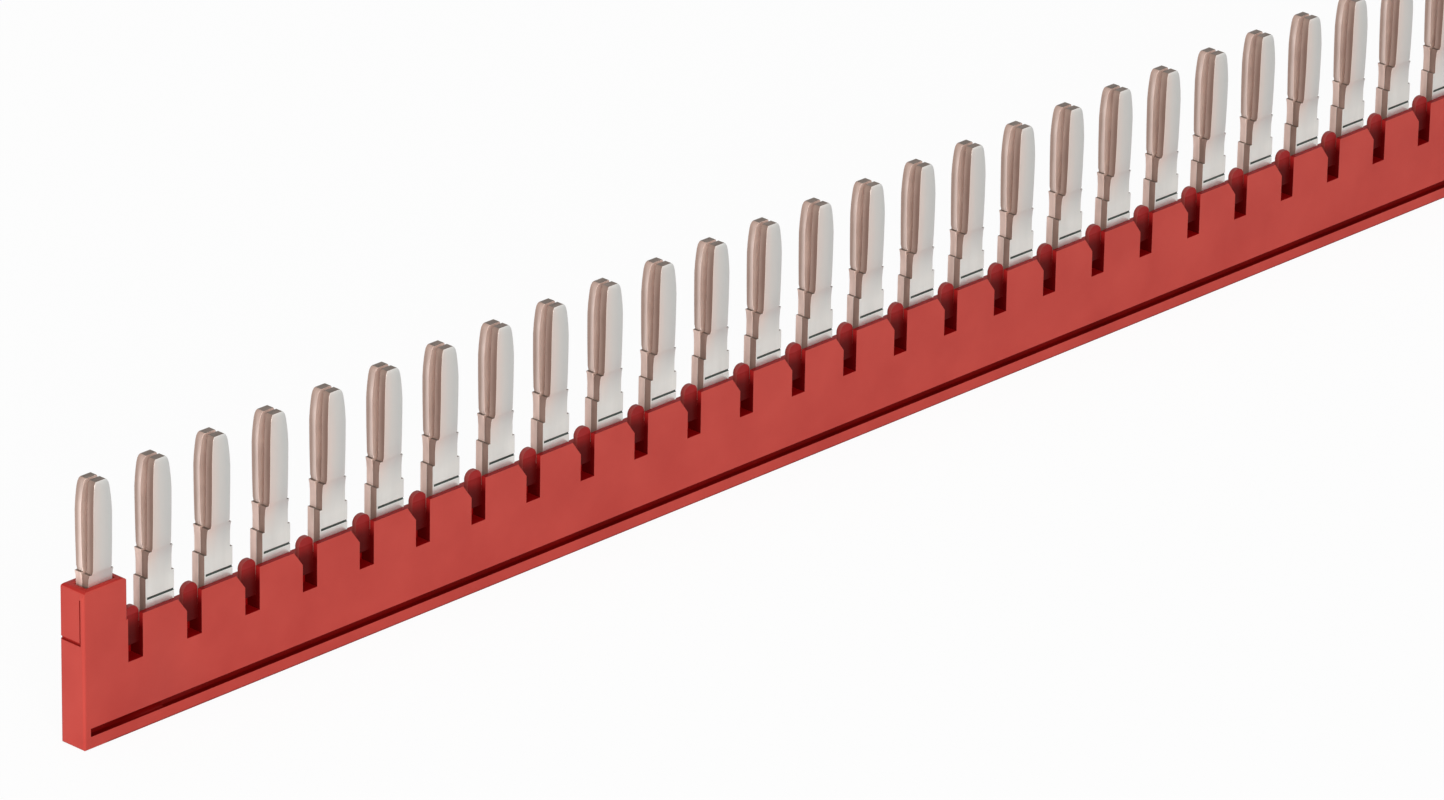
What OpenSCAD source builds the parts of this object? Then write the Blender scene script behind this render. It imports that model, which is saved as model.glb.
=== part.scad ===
// Plug-in jumper bar for a row of terminal blocks: a moulded housing that
// carries two stamped contact combs back to back, with their tines up.
// X runs along the bar, the slotted front faces -Y, the tines point to +Z.
// The origin is at the middle of the bar's bottom edge.

/* [Row] */
// Number of contact positions
positions = 50; // [2:1:60]
// Distance between neighbouring positions
pitch = 6.2; // [5.6:0.1:8]
// From the first tine's middle to the end of the housing
end_margin = 2.3; // [2:0.1:3]

/* [Housing] */
// Thickness of the housing, front to rear
body_t = 2.7; // [2.4:0.1:4]
// Height of the full-thickness body
body_h = 8.5; // [8:0.1:10]
// Height of the front wall's top above the bottom edge
wall_h = 9.8; // [9.5:0.1:11]
// Thickness of the front wall
wall_t = 0.45; // [0.35:0.05:0.6]
// Height of the end block round the first and the last tine
block_h = 13.4; // [12:0.1:14]
// Radius of the housing's outer edges
edge_r = 0.25; // [0.2:0.05:0.5]
// Radius of the end block's upper corners
block_r = 0.6; // [0.3:0.05:0.8]

/* [End face] */
// Height of the step in the end face
step_z = 8.9; // [8:0.1:11]
// How far the end face is set back above the step
step_d = 0.1; // [0.05:0.05:0.2]
// Width of the line round the part that is set back
line_w = 0.22; // [0.1:0.02:0.3]
// Depth of that line
line_d = 0.25; // [0.15:0.05:0.3]

/* [Slots] */
// Width of the slot between two positions
slot_w = 1.55; // [1.2:0.05:2]
// Slot's floor below the top of the full-thickness body
floor_drop = 2.35; // [2:0.05:2.6]
// Ledge, where the slot gets shallow, below the top of that body
ledge_drop = 1.2; // [0.8:0.1:1.5]
// Depth of the slot below its ledge
slot_deep = 1.4; // [0.8:0.1:1.8]
// Length of the cut corner beside the slot
corner_w = 0.95; // [0.5:0.05:1]
// Height of the cut corner beside the slot
corner_h = 1.3; // [0.5:0.05:1.5]

/* [Divider] */
// Width of the divider behind each slot
divider_w = 1.5; // [1:0.05:1.6]
// Thickness of the divider
divider_t = 0.45; // [0.3:0.05:0.6]
// Height of the divider's round top
divider_h = 10.5; // [10.4:0.1:12]

/* [Groove] */
// Height of the groove's lower side
groove_z = 1.1; // [0.8:0.1:1.6]
// Width of the groove
groove_w = 0.7; // [0.4:0.1:0.9]
// Depth of the groove
groove_d = 0.5; // [0.2:0.1:0.7]
// Distance from the end of the groove to the end face
groove_end = 0.65; // [0.4:0.05:3]

/* [Combs] */
// Thickness of each comb's sheet
sheet_t = 0.7; // [0.6:0.02:0.8]
// Distance from the front wall's rear face to the room for the combs
comb_gap = 0.06; // [0.02:0.02:0.3]
// Lower edge of the comb's strip
strip_z = 2.6; // [2.6:0.1:3.5]
// Material left between the slot's floor and the comb's strip
strip_gap = 0.55; // [0.3:0.05:0.8]
// Clearance between the combs and the housing
fit = 0.04; // [0.02:0.01:0.08]

/* [Tines] */
// Height of the tip
tip_z = 22; // [20:0.1:24]
// Height of the upper shoulder
shoulder_z = 14.4; // [14.2:0.1:15]
// Height of the lower shoulder
foot_z = 12.2; // [11:0.1:13]
// Width of the foot
foot_w = 3; // [2.8:0.05:3.4]
// Width between the shoulders
neck_w = 2.5; // [2.2:0.05:2.7]
// Width of the spring part
blade_w = 1.95; // [1.6:0.05:2.15]
// Width of the tip
tip_w = 1.05; // [0.8:0.05:1.5]
// Length over which the tip narrows
tip_l = 2.7; // [1.5:0.1:4]
// Inner face from the combs' shared plane, below the upper shoulder
neck_gap = 0.06; // [0.02:0.01:0.1]
// Inner face from the combs' shared plane, where the spring part is widest
blade_gap = 0.36; // [0.2:0.02:0.4]
// How much nearer to that plane the spring part is at the shoulder
leaf_bow = 0.1; // [0:0.02:0.16]
// Inner face from the combs' shared plane, at the tip
tip_gap = 0.15; // [0.05:0.05:0.2]

/* [Score line] */
// Height of the score line above the bottom edge
score_z = 10.2; // [10:0.05:11]
// Length of the score line
score_l = 2.4; // [1:0.1:2.6]
// Width of the score line
score_w = 0.2; // [0.1:0.05:0.3]
// Depth of the score line
score_d = 0.12; // [0.05:0.01:0.2]

/* [Hidden] */
$fn = 32;
cut = 0.2;
bar_l = (positions - 1) * pitch + 2 * end_margin;
first_x = -bar_l / 2 + end_margin;
block_l = end_margin + (pitch - slot_w) / 2;
front_y = -body_t / 2;
comb_mid = front_y + wall_t + comb_gap + fit + sheet_t;
slot_floor = body_h - floor_drop;
slot_ledge = body_h - ledge_drop;
strip_top = slot_floor - strip_gap;
divider_r = divider_w * 0.46;
blade_y = blade_gap + sheet_t;
joggle = 0.3;

// Places of the tines, and of the slots midway between them
tine_x = [for (i = [0 : positions - 1]) first_x + i * pitch];
slot_x = [for (i = [0 : positions - 2]) first_x + (i + 0.5) * pitch];

// Shares of the narrowing tip's length, each with the share of its narrowing
tip_shape = [[0, 0], [0.3, 0.09], [0.55, 0.22], [0.75, 0.36], [0.88, 0.52], [0.96, 0.74], [1, 1]];

// Points of a line that narrows along the tip from one size to another
function along_tip(from, to) =
    [for (s = tip_shape) [from + (to - from) * s[1], tip_z - tip_l * (1 - s[0])]];

// Points of the outer face along the spring part, bowed outwards
function along_leaf() =
    let (low = shoulder_z + joggle, high = tip_z - tip_l)
        [for (v = [0, 0.25, 0.5, 0.75]) [blade_y - leaf_bow * pow(1 - v, 2), low + (high - low) * v]];

// Points of a line in reverse order, moved and mirrored in their first value
function back_along(points, move, turn) =
    [for (i = [len(points) - 1 : -1 : 0]) [turn * points[i][0] + move, points[i][1]]];

// Prism along X from a drawing of Y and Z
module along_x(from, to) {
    translate([from, 0, 0])
        rotate([90, 0, 90])
            linear_extrude(to - from)
                children();
}

// Prism along Y from a drawing of X and Z
module along_y(from, to) {
    translate([0, to, 0])
        rotate([90, 0, 0])
            linear_extrude(to - from)
                children();
}

// Rectangle from one corner to the other with four round corners
module round_rect(a, b, r) {
    translate([a[0] + r, a[1]])
        square([b[0] - a[0] - 2 * r, b[1] - a[1]]);
    translate([a[0], a[1] + r])
        square([b[0] - a[0], b[1] - a[1] - 2 * r]);
    for (x = [a[0] + r, b[0] - r], y = [a[1] + r, b[1] - r])
        translate([x, y])
            circle(r);
}

// Section of the long part: the full body and the thin front wall above it
module section() {
    round_rect([front_y, 0], [front_y + body_t, body_h / 2], edge_r);
    translate([front_y, edge_r])
        square([body_t, body_h - edge_r]);
    translate([front_y, edge_r])
        square([wall_t, wall_h - edge_r]);
}

// The long part, round at its bottom edges and its ends
module long_part() {
    intersection() {
        along_x(-bar_l / 2, bar_l / 2)
            section();
        along_y(front_y, front_y + body_t)
            round_rect([-bar_l / 2, 0], [bar_l / 2, wall_h + edge_r], edge_r);
        linear_extrude(wall_h)
            round_rect([-bar_l / 2, front_y], [bar_l / 2, front_y + body_t], edge_r);
    }
}

// Taller block at the end, round at all its upper edges
module end_block() {
    start = [-bar_l / 2, front_y, body_h / 2];
    end = [-bar_l / 2 + block_l, front_y + body_t, block_h];
    intersection() {
        along_x(start[0], end[0])
            round_rect([start[1], start[2]], [end[1], end[2]], edge_r);
        along_y(start[1], end[1])
            round_rect([start[0], start[2]], [end[0], end[2]], block_r);
        linear_extrude(block_h)
            round_rect([start[0], start[1]], [end[0], end[1]], edge_r);
    }
}

// Shallow step in the end face, behind the front wall, with a line round it
module end_step() {
    x = -bar_l / 2 - cut;
    y = front_y + wall_t;
    translate([x, y, step_z])
        cube([step_d + cut, body_t, block_h]);
    translate([x, y - line_w / 2, step_z - line_w / 2])
        cube([line_d + cut, line_w, block_h - block_r - step_z]);
    translate([x, y - line_w / 2, step_z - line_w / 2])
        cube([line_d + cut, body_t, line_w]);
}

// Divider that stands behind a slot, with a round top
module divider() {
    along_y(front_y + wall_t, front_y + wall_t + divider_t)
        round_rect([-divider_w / 2, body_h - divider_r * 2], [divider_w / 2, divider_h], divider_r);
}

// Slot in the front wall with its deep lower end
module slot() {
    translate([-slot_w / 2, front_y - cut, slot_ledge])
        cube([slot_w, wall_t + cut, wall_h + cut - slot_ledge]);
    translate([-slot_w / 2, front_y - cut, slot_floor])
        cube([slot_w, slot_deep + cut, slot_ledge - slot_floor]);
}

// Cut upper corner of the front wall, on one side of a slot
module corner_cut() {
    along_y(front_y - cut, front_y + wall_t)
        polygon([
            [-slot_w / 2, wall_h - corner_h],
            [-slot_w / 2, wall_h + cut],
            [-slot_w / 2 - corner_w * (1 + cut / corner_h), wall_h + cut]
        ]);
}

// Long groove near the bottom of the front
module groove() {
    translate([-bar_l / 2 + groove_end, front_y - cut, groove_z])
        cube([bar_l - 2 * groove_end, groove_d + cut, groove_w]);
}

// Outline of one tine from the strip up
module tine_outline() {
    side = concat(
        [
            [foot_w / 2, strip_z],
            [foot_w / 2, foot_z],
            [neck_w / 2, foot_z],
            [neck_w / 2, shoulder_z],
            [blade_w / 2, shoulder_z]
        ],
        along_tip(blade_w / 2, tip_w / 2)
    );
    polygon(concat(side, back_along(side, 0, -1)));
}

// Outline of the strip that joins the tines, larger by grow all round
module strip_outline(grow) {
    x0 = tine_x[0] - foot_w / 2 - grow;
    translate([x0, strip_z - grow])
        square([-2 * x0, strip_top - strip_z + 2 * grow]);
}

// Section of one sheet, from the combs' shared plane outwards
module sheet_section() {
    outer = concat(
        [
            [sheet_t, strip_z],
            [sheet_t, block_h],
            [sheet_t + neck_gap, shoulder_z - joggle]
        ],
        along_leaf(),
        along_tip(blade_y, tip_gap + sheet_t)
    );
    polygon(concat(outer, back_along(outer, -sheet_t, 1)));
}

// Score line in the outer face of a foot, from one side of the foot inwards
module score() {
    half = score_w / 2 * (1 + cut / score_d);
    along_x(foot_w / 2 - score_l, foot_w / 2 + cut)
        polygon([
            [sheet_t - score_d, score_z],
            [sheet_t + cut, score_z - half],
            [sheet_t + cut, score_z + half]
        ]);
}

// One comb: the stamped outline, formed to the section of its sheet
module comb(side) {
    translate([0, comb_mid, 0])
        mirror([0, side, 0])
            difference() {
                intersection() {
                    along_y(-blade_y, blade_y) {
                        strip_outline(0);
                        for (x = tine_x)
                            translate([x, 0])
                                tine_outline();
                    }
                    along_x(-bar_l / 2, bar_l / 2)
                        sheet_section();
                }
                for (x = tine_x)
                    translate([x, 0, 0])
                        score();
            }
}

// Room for both combs inside the housing, open upwards over each foot
module comb_pocket() {
    along_y(comb_mid - sheet_t - fit, comb_mid + sheet_t + fit) {
        strip_outline(fit);
        for (x = tine_x)
            translate([x - foot_w / 2 - fit, strip_z - fit])
                square([foot_w + 2 * fit, block_h + cut - strip_z]);
    }
}

module housing() {
    color([0.74, 0.28, 0.26])
        difference() {
            union() {
                long_part();
                for (side = [0, 1])
                    mirror([side, 0, 0])
                        end_block();
                for (x = slot_x)
                    translate([x, 0, 0])
                        divider();
            }
            for (side = [0, 1])
                mirror([side, 0, 0])
                    end_step();
            for (x = slot_x)
                translate([x, 0, 0])
                    slot();
            for (i = [1 : 1 : len(slot_x) - 1])
                translate([slot_x[i], 0, 0])
                    corner_cut();
            groove();
            comb_pocket();
        }
}

module front_comb() {
    color([0.8, 0.8, 0.78])
        comb(1);
}

module rear_comb() {
    color([0.72, 0.66, 0.62])
        comb(0);
}

housing();
front_comb();
rear_comb();
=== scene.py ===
# Looks for a plug-in jumper bar: a red moulded housing with a long row of
# tin-plated double-leaf tines, standing on a pale studio floor.

from math import cos, radians, sin

import bmesh
import bpy
from mathutils import Matrix, Vector


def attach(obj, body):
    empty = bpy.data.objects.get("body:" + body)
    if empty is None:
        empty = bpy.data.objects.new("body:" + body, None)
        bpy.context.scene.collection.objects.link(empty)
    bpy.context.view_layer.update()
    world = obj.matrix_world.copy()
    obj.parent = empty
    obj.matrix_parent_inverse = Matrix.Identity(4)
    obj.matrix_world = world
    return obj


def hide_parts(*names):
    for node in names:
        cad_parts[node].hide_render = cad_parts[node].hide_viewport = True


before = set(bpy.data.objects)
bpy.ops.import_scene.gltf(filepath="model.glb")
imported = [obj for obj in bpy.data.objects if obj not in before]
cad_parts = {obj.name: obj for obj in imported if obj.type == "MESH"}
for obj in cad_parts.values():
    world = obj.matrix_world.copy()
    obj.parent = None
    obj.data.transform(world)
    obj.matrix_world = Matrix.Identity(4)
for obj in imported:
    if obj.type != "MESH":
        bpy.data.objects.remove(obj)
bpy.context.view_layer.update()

mm = 0.001
print("loaded the frame:", sorted(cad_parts))


# camera, fitted to the photo
view = {
    "aim": (-83.55, -1.35, 8.36),   # point at the middle of the picture, mm
    "bearing": 43.22,               # looks this far round from +X towards +Y, degrees
    "elevation": 23.21,             # looks down by this much, degrees
    "roll": 1.07,                   # degrees
    "distance": 743.56,             # from the aim, mm
    "lens": 227.26,                 # mm
    "sensor": 36,                   # width, mm
    "clip": (0.01, 20),             # nearest and furthest that it sees, m
}


def makeCamera():
    data = bpy.data.cameras.new("photoCamera")
    data.lens = view["lens"]
    data.sensor_width = view["sensor"]
    data.clip_start, data.clip_end = view["clip"]
    bearing = radians(view["bearing"])
    elevation = radians(view["elevation"])
    forward = Vector((cos(bearing) * cos(elevation), sin(bearing) * cos(elevation),
                      -sin(elevation)))
    roll = Matrix.Rotation(radians(view["roll"]), 3, "Z")
    turn = forward.to_track_quat("-Z", "Y").to_matrix() @ roll
    camera = bpy.data.objects.new("photoCamera", data)
    camera.matrix_world = turn.to_4x4()
    camera.location = Vector(view["aim"]) * mm - forward * view["distance"] * mm
    bpy.context.scene.collection.objects.link(camera)
    bpy.context.scene.camera = camera


makeCamera()
print("camera set")


# shared helpers for the materials
toneEnds = (0.3, 0.7)       # where a grain's deep tone ends and where its light one begins
bumpStrength = 0.5


def linear(level):
    # the light that one channel of a colour, from 0 to 255, stands for
    share = level / 255
    return share / 12.92 if share < 0.04045 else ((share + 0.055) / 1.055) ** 2.4


def srgb(red, green, blue):
    return linear(red), linear(green), linear(blue), 1


def newMaterial(name):
    material = bpy.data.materials.new(name)
    material.use_nodes = True
    nodes = material.node_tree.nodes
    shader = nodes["Principled BSDF"]
    place = nodes.new("ShaderNodeTexCoord")
    return material, nodes, material.node_tree.links, shader, place.outputs["Object"]


def grain(nodes, links, where, scale, stretch=(1, 1, 1), detail=3):
    # scale is per metre; a stretch below 1 draws the grain out along that axis
    mapping = nodes.new("ShaderNodeMapping")
    mapping.inputs["Scale"].default_value = stretch
    noise = nodes.new("ShaderNodeTexNoise")
    noise.inputs["Scale"].default_value = scale
    noise.inputs["Detail"].default_value = detail
    links.new(where, mapping.inputs["Vector"])
    links.new(mapping.outputs["Vector"], noise.inputs["Vector"])
    return noise.outputs["Fac"]


def fade(nodes, links, where, axis, start, end, period=0):
    # 0 at start and 1 at end, both in mm along the axis, or within each period along it
    split = nodes.new("ShaderNodeSeparateXYZ")
    links.new(where, split.inputs["Vector"])
    place = split.outputs[axis]
    if period:
        wrap = nodes.new("ShaderNodeMath")
        wrap.operation = "WRAP"
        wrap.inputs[1].default_value = period * mm
        wrap.inputs[2].default_value = 0
        links.new(place, wrap.inputs[0])
        place = wrap.outputs["Value"]
    reach = nodes.new("ShaderNodeMapRange")
    reach.inputs["From Min"].default_value = start * mm
    reach.inputs["From Max"].default_value = end * mm
    links.new(place, reach.inputs["Value"])
    return reach.outputs["Result"]


def layOver(nodes, links, base, tone, share):
    # base with a share of another tone laid over it
    blend = nodes.new("ShaderNodeMath")
    blend.operation = "MULTIPLY_ADD"
    blend.inputs[1].default_value = share
    links.new(tone, blend.inputs[0])
    links.new(base, blend.inputs[2])
    return blend.outputs["Value"]


def mixColour(nodes, links, share, first, second):
    # first where share is 0, second where it is 1
    mix = nodes.new("ShaderNodeMix")
    mix.data_type = "RGBA"
    links.new(share, mix.inputs["Factor"])
    links.new(first, mix.inputs[6])
    links.new(second, mix.inputs[7])
    return mix.outputs[2]


def ramp(nodes, links, factor, stops):
    # stops are places from 0 to 1, each with its colour
    blend = nodes.new("ShaderNodeValToRGB")
    while len(blend.color_ramp.elements) < len(stops):
        blend.color_ramp.elements.new(0.5)
    for element, (position, colour) in zip(blend.color_ramp.elements, stops):
        element.position = position
        element.color = srgb(*colour)
    links.new(factor, blend.inputs["Fac"])
    return blend.outputs["Color"]


def twoTone(deep, light):
    return list(zip(toneEnds, (deep, light)))


def addBump(nodes, links, shader, height, distance):
    bump = nodes.new("ShaderNodeBump")
    bump.inputs["Distance"].default_value = distance * mm
    bump.inputs["Strength"].default_value = bumpStrength
    links.new(height, bump.inputs["Height"])
    links.new(bump.outputs["Normal"], shader.inputs["Normal"])


# shared steps for the pieces, which are all dressed copies of a CAD node
meshing = {
    "merge": 0.002,         # points this close become one, mm
    "onCut": 0.003,         # points this close to a cut lie on it, mm
    "flat": 0.5,            # an edge that turns by less than this is dissolved, degrees
    "sharp": 25,            # one that turns by more than this is shaded sharp
    "rounded": 35,          # and one that turns by more than this is rounded over
    "segments": 2,          # faces across a rounded edge
}


def copyOfNode(nodeName, pieceName, cuts):
    # cuts are planes, each a point in mm and a direction, that split the long flat faces
    piece = bpy.data.objects.new(pieceName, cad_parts[nodeName].data.copy())
    piece.data.name = pieceName
    piece.data.materials.clear()
    bpy.context.scene.collection.objects.link(piece)
    bm = bmesh.new()
    bm.from_mesh(piece.data)
    bmesh.ops.remove_doubles(bm, verts=bm.verts, dist=meshing["merge"] * mm)
    for place, direction in cuts:
        split = bmesh.ops.bisect_plane(bm, geom=bm.verts[:] + bm.edges[:] + bm.faces[:],
                                       dist=meshing["onCut"] * mm,
                                       plane_co=Vector(place) * mm, plane_no=direction)
        for part in split["geom_cut"]:
            if isinstance(part, bmesh.types.BMEdge):
                part.seam = True
    bmesh.ops.dissolve_limit(bm, angle_limit=radians(meshing["flat"]), verts=bm.verts,
                             edges=bm.edges, delimit={"SEAM"})
    return piece, bm


def turnsMoreThan(edge, angle):
    return edge.is_manifold and edge.calc_face_angle(0) > radians(angle)


def markBevel(bm, shortest, reach):
    # sharp edges, long enough to be rounded over and no further out along X than reach
    weight = bm.edges.layers.float.new("bevel_weight_edge")
    for edge in bm.edges:
        furthest = max(abs(vert.co.x) for vert in edge.verts)
        if furthest > reach * mm or edge.calc_length() < shortest * mm:
            continue
        if turnsMoreThan(edge, meshing["rounded"]):
            edge[weight] = 1


def finishMesh(piece, bm):
    for face in bm.faces:
        face.smooth = True
    for edge in bm.edges:
        edge.smooth = not turnsMoreThan(edge, meshing["sharp"])
    bm.to_mesh(piece.data)
    bm.free()


def addBevel(piece, width):
    bevel = piece.modifiers.new("softEdges", "BEVEL")
    bevel.width = width * mm
    bevel.segments = meshing["segments"]
    bevel.limit_method = "WEIGHT"
    bevel.use_clamp_overlap = True
    bevel.harden_normals = True
    bevel.miter_outer = "MITER_ARC"


# housing, one red moulding; lengths in mm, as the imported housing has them
housing = {
    "reds": {
        # light and deep tone of each kind of face, and its sheen
        "wallRed": ((180, 62, 52), (171, 54, 45), 0.3),
        # painted shade: the groove's faces are given a deep red
        "groovePaintedShadeRed": ((112, 5, 4), (96, 3, 2), 0.08),
        # painted shade: the thin line in each end face is darker than the wall
        "endLinePaintedShadeRed": ((160, 40, 34), (148, 32, 28), 0.08),
        # painted shade: the slots' deep floors are a dark red
        "slotFloorPaintedShadeRed": ((156, 8, 12), (138, 5, 8), 0.08),
        # painted shade: the wall's top and the other level faces are darker than the upright
        # walls
        "wallTopPaintedShadeRed": ((138, 18, 22), (122, 12, 15), 0.08),
        "levelPaintedShadeRed": ((170, 46, 40), (158, 38, 33), 0.08),
        # painted shade: the dividers' fronts above the wall are darker than the wall
        "dividerPaintedShadeRed": ((148, 38, 37), (134, 28, 28), 0.15),
        # painted reflection: the dividers' sides and tops are a lighter, mauve red
        "rimPaintedReflectionRed": ((154, 66, 62), (138, 54, 50), 0.2),
    },
    "slotPaintedShadeReds": {
        # painted shade in the slots: reds that change with height, darker towards the slot's
        # ledge (0) than at the wall's top (1)
        "slotSidePaintedShadeRed": [(0.6, (84, 2, 3)), (1.0, (146, 28, 27))],
        "slotBackPaintedShadeRed": [
            (0.4, (76, 4, 4)), (0.7, (88, 12, 11)), (0.85, (108, 20, 19)), (1.0, (128, 27, 26)),
        ],
    },
    "slotSheen": 0.1,
    "slotCloud": 0.2,           # share of the cloud laid over those changes
    "roughness": 0.45,
    "cloud": {"scale": 220, "detail": 4},       # slow changes of colour
    "skin": {"scale": 9000},                    # fine mould texture
    "skinDepth": 0.004,
    "edge": 0.05,
    "shortest": 0.2,            # shortest edge that is rounded over
    "bevelReach": 149.4,        # and how far out along X, which leaves out the two end blocks
    "positions": 50,
    "pitch": 6.2,
    "firstTine": -151.9,
    "firstSlot": -148.8,
    "slotWidth": 1.55,
    "slotLedge": 7.3,
    "slotDepth": 1.4,
    "bodyTop": 8.5,
    "wall": 0.45,
    "wallTop": 9.8,
    "front": -1.35,
    "groove": (1.1, 1.8),
    "grooveDepth": 0.5,
    "endFace": 154.2,
    "endLine": (-0.9, 8.9),     # Y of its upright part and Z of its level part
    "endLineWidth": 0.22,
    "endLineDepth": 0.25,
    "near": 0.01,               # places this close count as the same
    "topNear": 0.1,             # and this close to the wall's top as its top
    "facing": 0.9,              # least share of a face's normal along an axis to look that way
    "level": 0.7,               # least share of it upwards to be level
    "edgeOn": 0.1,              # most of it along X to be a side of the line in the end face
}


def makePlastic(name):
    material, nodes, links, shader, where = newMaterial(name)
    tone = grain(nodes, links, where, **housing["cloud"])
    if name in housing["slotPaintedShadeReds"]:
        # painted shade: the slot reds darken from the wall's top down to the slot's ledge
        rise = fade(nodes, links, where, "Z", housing["slotLedge"], housing["wallTop"])
        tone = layOver(nodes, links, rise, tone, housing["slotCloud"])
        stops = housing["slotPaintedShadeReds"][name]
        sheen = housing["slotSheen"]
    else:
        light, deep, sheen = housing["reds"][name]
        stops = twoTone(deep, light)
    links.new(ramp(nodes, links, tone, stops), shader.inputs["Base Color"])
    shader.inputs["Roughness"].default_value = housing["roughness"]
    shader.inputs["Specular IOR Level"].default_value = sheen
    skin = grain(nodes, links, where, **housing["skin"])
    addBump(nodes, links, shader, skin, housing["skinDepth"])
    return material


def inEndLine(face, middle):
    # true for a face of the thin line in either end face
    near = housing["near"]
    inside = housing["endFace"] - abs(middle.x)
    upright, level = housing["endLine"]
    reach = housing["endLineWidth"] / 2 + near
    onLine = abs(middle.z - level) < reach or abs(middle.y - upright) < reach
    bottom = abs(inside - housing["endLineDepth"]) < near
    side = abs(face.normal.x) < housing["edgeOn"] and 2 * near < inside < housing["endLineDepth"]
    return bottom or (onLine and side)


def redOf(face):
    # which red a face has: grooves and slots get painted deep shade, level faces painted shade
    # deeper than walls, divider sides a painted reflection
    near = housing["near"]
    middle = face.calc_center_median() / mm
    depth = middle.y - housing["front"]
    low, high = housing["groove"]
    # painted shade in the groove
    if near < depth < housing["grooveDepth"] + near and low - near < middle.z < high + near:
        return "groovePaintedShadeRed"
    # painted shade in the end faces' thin line
    if inEndLine(face, middle):
        return "endLinePaintedShadeRed"
    step = (middle.x - housing["firstSlot"]) / housing["pitch"]
    across = abs(step - round(step)) * housing["pitch"]     # from the middle of the nearest slot
    half = housing["slotWidth"] / 2
    inSlot = across < half + near and near < depth < housing["slotDepth"] + 2 * near
    behindWall = middle.z > housing["bodyTop"] and depth > housing["wall"] - near
    if inSlot and behindWall and across < half - near:
        # the dividers' sides and tops get a painted reflection
        if abs(face.normal.y) < housing["facing"]:
            return "rimPaintedReflectionRed"
        # divider fronts get painted shade, and below the wall's top the slot back's deeper
        # painted shade
        shaded = middle.z < housing["wallTop"] and face.normal.y < 0
        return "slotBackPaintedShadeRed" if shaded else "dividerPaintedShadeRed"
    # level faces get painted shade, darkest on the wall's top
    if face.normal.z > housing["level"] and middle.z > housing["slotLedge"]:
        onTop = abs(middle.z - housing["wallTop"]) < housing["topNear"]
        return "wallTopPaintedShadeRed" if onTop else "levelPaintedShadeRed"
    if not inSlot or middle.z > housing["wallTop"]:
        return "wallRed"
    # slot sides and backs get painted shade
    if abs(face.normal.x) > housing["facing"]:
        return "slotSidePaintedShadeRed" if across > half - near else "wallRed"
    if abs(face.normal.y) > housing["facing"] and depth < housing["wall"] + near:
        return "slotBackPaintedShadeRed"
    # painted shade on the slots' floors
    return "slotFloorPaintedShadeRed" if middle.z < housing["slotLedge"] + near else "wallRed"


def makeHousing():
    # cut at the wall's top and through the middle of each tine
    cuts = [((0, 0, housing["wallTop"]), (0, 0, 1))]
    for position in range(housing["positions"]):
        cuts.append(((housing["firstTine"] + position * housing["pitch"], 0, 0), (1, 0, 0)))
    piece, bm = copyOfNode("housing", "mouldedHousing", cuts)
    reds = list(housing["reds"]) + list(housing["slotPaintedShadeReds"])
    for name in reds:
        piece.data.materials.append(makePlastic(name))
    for face in bm.faces:
        face.material_index = reds.index(redOf(face))
    markBevel(bm, housing["shortest"], housing["bevelReach"])
    finishMesh(piece, bm)
    addBevel(piece, housing["edge"])
    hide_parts("housing")
    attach(piece, "root")


makeHousing()
print("housing made")


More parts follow.
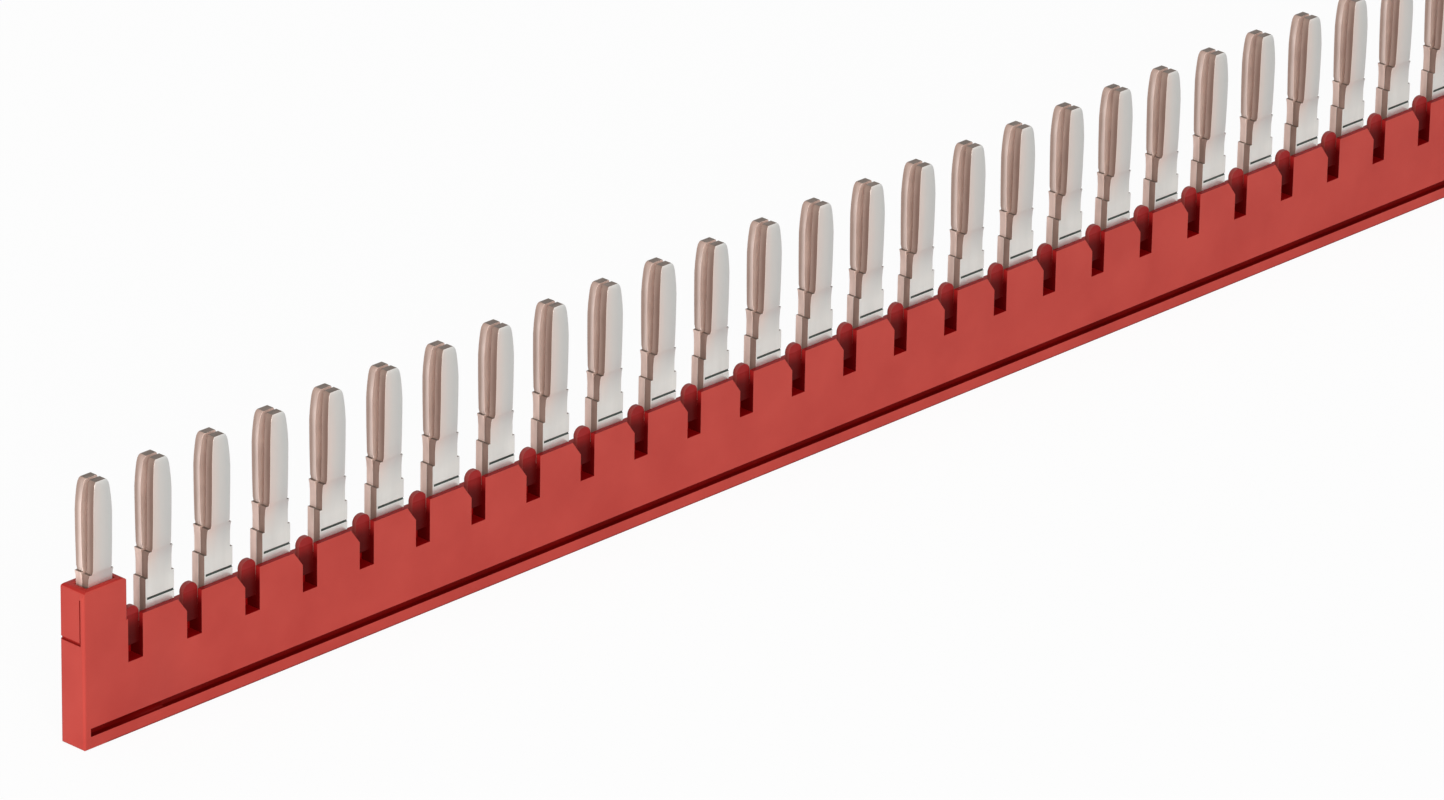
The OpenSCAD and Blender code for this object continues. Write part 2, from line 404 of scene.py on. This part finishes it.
# the two combs: plated faces, bare cut edges; lengths in mm
combs = {
    "tin": (236, 235, 230),
    "tinShade": (224, 223, 218),
    # tones across the blade, from its -X edge, a painted highlight warm and light at that edge
    # and darker towards +X, which come in between the next two heights
    "bladeTinPaintedHighlight": [(0.2, (230, 213, 204)), (0.65, (216, 212, 207)), (1.0, (207, 207, 204))],
    "bladeFade": (11.6, 14.0),
    "bladeWidth": 1.95,
    "pitch": 6.2,
    "tinMetal": 0.75,
    "tinRoughness": 0.36,
    "streak": {"scale": 700, "stretch": (1, 1, 0.18), "detail": 4},     # drawn out along the tine
    "streakShare": 0.4,             # how much of it shows across the blade
    "tinSkin": {"scale": 2500, "stretch": (1, 1, 0.25)},
    "coppers": {
        # light and deep tone of each kind of bare face
        # painted light on the blades' sides: light tones on the rear leaf, a painted highlight,
        # and dark ones on the front leaf, painted shade
        "rearSide": ((232, 210, 200), (176, 150, 138)),
        "frontSide": ((172, 144, 132), (138, 110, 98)),
        # painted light: the leaves' inner faces, in the gap between them, are given light tones
        "innerFacePaintedLight": ((230, 208, 196), (212, 188, 176)),
        # painted shade: ledges and tip tops, facing up or down, are dark
        "ledgePaintedShade": ((124, 108, 98), (94, 80, 70)),
        # painted shade: the score line is dark grey
        "scoredLinePaintedShade": ((84, 92, 86), (60, 66, 62)),
        # painted light on the feet's sides: the rear leaf's are light, a painted highlight, and
        # the front leaf's dark, painted shade
        "rearFootSide": ((240, 212, 200), (214, 186, 174)),
        "frontFootSide": ((156, 128, 116), (132, 106, 94)),
    },
    "bladeSides": {
        # Y where a blade's side is darkest and where it is lightest, which puts a painted
        # highlight towards the gap between the leaves, and the tone at its tip
        "rearSide": ((0.8, 0.05), (172, 146, 134)),
        "frontSide": ((-1.0, -0.2), (142, 118, 106)),
    },
    "tipShade": 0.94,               # the tip's deep tone, as a share of its light one
    "tipFade": (20.0, 22.0),        # the sides go over to the tip's tone between these heights
    "drag": {"scale": 1500, "stretch": (0.3, 1, 0.3), "detail": 4},     # marks of the shear
    "dragShare": 0.25,              # how much of them shows on the blades' sides
    "cutSkin": {"scale": 4000, "stretch": (1, 0.2, 1)},
    "skinDepth": 0.006,
    "cutMetal": 0.5,
    "cutRoughness": 0.45,
    "edge": 0.035,
    "shortest": 0.1,                # shortest edge that is rounded over
    "bevelReach": 154,              # and how far out along X
    "scoreLine": (10.0, 10.4),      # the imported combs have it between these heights
    "scoreLift": 0.3,               # it is set this much higher,
    "scoreReach": 0.45,             # and this much longer at its -X end,
    "scoreEnd": -0.7,               # which is past this, from the tine's middle
    "feetFrom": 8.3,                # the strip and the covered part of the feet lie below this
    "bladeFrom": 13.4,              # the leaves part above this height
    "shoulder": 14.4,               # foot and neck end here
    "facing": 0.9,                  # least share of a face's normal up or down to be a ledge
    "sideways": 0.5,                # least share of it along X to be a side
    "sloped": 0.2,                  # least share of it up or down to be in the score line
}


def makeTin():
    material, nodes, links, shader, where = newMaterial("tinPlate")
    streaks = grain(nodes, links, where, **combs["streak"])
    foot = ramp(nodes, links, streaks, twoTone(combs["tinShade"], combs["tin"]))
    # painted highlight along each blade's -X edge, darker towards +X
    edge = (combs["pitch"] - combs["bladeWidth"]) / 2
    across = fade(nodes, links, where, "X", edge, combs["pitch"] - edge, combs["pitch"])
    tone = layOver(nodes, links, across, streaks, combs["streakShare"])
    blade = ramp(nodes, links, tone, combs["bladeTinPaintedHighlight"])
    rise = fade(nodes, links, where, "Z", *combs["bladeFade"])
    links.new(mixColour(nodes, links, rise, foot, blade), shader.inputs["Base Color"])
    shader.inputs["Metallic"].default_value = combs["tinMetal"]
    shader.inputs["Roughness"].default_value = combs["tinRoughness"]
    skin = grain(nodes, links, where, **combs["tinSkin"])
    addBump(nodes, links, shader, skin, combs["skinDepth"])
    return material


def makeCopper(name):
    material, nodes, links, shader, where = newMaterial(name)
    light, deep = combs["coppers"][name]
    drag = grain(nodes, links, where, **combs["drag"])
    if name in combs["bladeSides"]:
        deepToLight, tip = combs["bladeSides"][name]
        # painted highlight: the side lightens towards the gap between the leaves
        lift = fade(nodes, links, where, "Y", *deepToLight)
        drag = layOver(nodes, links, lift, drag, combs["dragShare"])
        side = ramp(nodes, links, drag, twoTone(deep, light))
        end = ramp(nodes, links, drag, twoTone([combs["tipShade"] * c for c in tip], tip))
        rise = fade(nodes, links, where, "Z", *combs["tipFade"])
        colour = mixColour(nodes, links, rise, side, end)
    else:
        colour = ramp(nodes, links, drag, twoTone(deep, light))
    links.new(colour, shader.inputs["Base Color"])
    shader.inputs["Metallic"].default_value = combs["cutMetal"]
    shader.inputs["Roughness"].default_value = combs["cutRoughness"]
    skin = grain(nodes, links, where, **combs["cutSkin"])
    addBump(nodes, links, shader, skin, combs["skinDepth"])
    return material


def finishOf(face, outward):
    # which finish a face of a comb has; outward is -1 on the front comb and 1 on the rear one
    middle = face.calc_center_median() / mm
    aside, upright = abs(face.normal.x), abs(face.normal.z)
    low, high = combs["scoreLine"]
    inScore = low < middle.z - combs["scoreLift"] < high
    # the score line gets painted shade
    if inScore and upright > combs["sloped"] and aside < combs["sideways"]:
        return "score"
    # ledges get painted shade
    if upright > combs["facing"]:
        return "ledge"
    if aside > combs["sideways"]:
        return "footSide" if middle.z < combs["shoulder"] else "bladeSide"
    if face.normal.y * outward < 0 and middle.z > combs["bladeFrom"]:
        return "inner"
    return "plated"


def liftScore(bm):
    # the photo has the score line higher up, and longer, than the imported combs
    low, high = combs["scoreLine"]
    for vert in bm.verts:
        if low < vert.co.z / mm < high:
            vert.co.z += combs["scoreLift"] * mm
            across = vert.co.x / mm % combs["pitch"] - combs["pitch"] / 2
            if across < combs["scoreEnd"]:
                vert.co.x -= combs["scoreReach"] * mm


def makeComb(nodeName, pieceName, outward, finishes):
    piece, bm = copyOfNode(nodeName, pieceName, [((0, 0, combs["feetFrom"]), (0, 0, 1))])
    liftScore(bm)
    for material in finishes.values():
        piece.data.materials.append(material)
    kinds = list(finishes)
    for face in bm.faces:
        face.material_index = kinds.index(finishOf(face, outward))
    markBevel(bm, combs["shortest"], combs["bevelReach"])
    finishMesh(piece, bm)
    addBevel(piece, combs["edge"])
    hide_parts(nodeName)
    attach(piece, "root")


tin = makeTin()
coppers = {name: makeCopper(name) for name in combs["coppers"]}


def finishesOf(comb):
    # the material of each kind of face on one comb, front or rear
    return {
        "plated": tin,
        "bladeSide": coppers[comb + "Side"],
        "inner": coppers["innerFacePaintedLight"],
        "ledge": coppers["ledgePaintedShade"],
        "score": coppers["scoredLinePaintedShade"],
        "footSide": coppers[comb + "FootSide"],
    }


makeComb("front_comb", "frontComb", -1, finishesOf("front"))
makeComb("rear_comb", "rearComb", 1, finishesOf("rear"))
print("combs made")


# pale floor and soft light
studio = {
    "floorSize": 6,             # m
    "floor": (246, 246, 246),
    "floorRoughness": 0.8,
    "floorGlow": 0.94,          # share of plain white that only the camera sees on the floor
    "world": 0.4,               # strength of the light from all round
    "backdrop": 1,              # strength of the white that the camera and gloss see instead
    "lamps": [
        # place and aim in m, size in m and power in W of each soft lamp
        ((-1.5, -2.0, 0.9), (0, 0, 0.01), 1.6, 46),
        ((-2.3, -0.2, 0.7), (0, 0, 0.01), 1.2, 24),
    ],
}
plainWhite = (1, 1, 1, 1)


def makeFloor():
    bm = bmesh.new()
    bmesh.ops.create_grid(bm, x_segments=1, y_segments=1, size=studio["floorSize"] / 2)
    mesh = bpy.data.meshes.new("studioFloor")
    bm.to_mesh(mesh)
    bm.free()
    floor = bpy.data.objects.new("studioFloor", mesh)
    bpy.context.scene.collection.objects.link(floor)
    material, nodes, links, shader = newMaterial("paleFloor")[:4]
    shader.inputs["Base Color"].default_value = srgb(*studio["floor"])
    shader.inputs["Roughness"].default_value = studio["floorRoughness"]
    rays = nodes.new("ShaderNodeLightPath")
    share = nodes.new("ShaderNodeMath")
    share.operation = "MULTIPLY"
    share.inputs[1].default_value = studio["floorGlow"]
    white = nodes.new("ShaderNodeEmission")
    mix = nodes.new("ShaderNodeMixShader")
    links.new(rays.outputs["Is Camera Ray"], share.inputs[0])
    links.new(share.outputs["Value"], mix.inputs["Fac"])
    links.new(shader.outputs["BSDF"], mix.inputs[1])
    links.new(white.outputs["Emission"], mix.inputs[2])
    links.new(mix.outputs["Shader"], nodes["Material Output"].inputs["Surface"])
    mesh.materials.append(material)


def makeWorld():
    world = bpy.data.worlds.new("studioWorld")
    world.use_nodes = True
    bpy.context.scene.world = world
    nodes = world.node_tree.nodes
    links = world.node_tree.links
    light = nodes["Background"]
    light.inputs["Color"].default_value = plainWhite
    light.inputs["Strength"].default_value = studio["world"]
    seen = nodes.new("ShaderNodeBackground")
    seen.inputs["Color"].default_value = plainWhite
    seen.inputs["Strength"].default_value = studio["backdrop"]
    rays = nodes.new("ShaderNodeLightPath")
    either = nodes.new("ShaderNodeMath")
    either.operation = "MAXIMUM"
    mix = nodes.new("ShaderNodeMixShader")
    links.new(rays.outputs["Is Camera Ray"], either.inputs[0])
    links.new(rays.outputs["Is Glossy Ray"], either.inputs[1])
    links.new(either.outputs["Value"], mix.inputs["Fac"])
    links.new(light.outputs["Background"], mix.inputs[1])
    links.new(seen.outputs["Background"], mix.inputs[2])
    links.new(mix.outputs["Shader"], nodes["World Output"].inputs["Surface"])


def makeLamps():
    for index, (place, aim, size, power) in enumerate(studio["lamps"]):
        data = bpy.data.lights.new("softLamp%d" % index, "AREA")
        data.shape = "DISK"
        data.size = size
        data.energy = power
        lamp = bpy.data.objects.new("softLamp%d" % index, data)
        lamp.location = place
        lamp.rotation_euler = (Vector(aim) - Vector(place)).to_track_quat("-Z", "Y").to_euler()
        bpy.context.scene.collection.objects.link(lamp)


makeFloor()
makeWorld()
makeLamps()
bpy.context.scene.view_settings.view_transform = "Standard"
print("studio set")
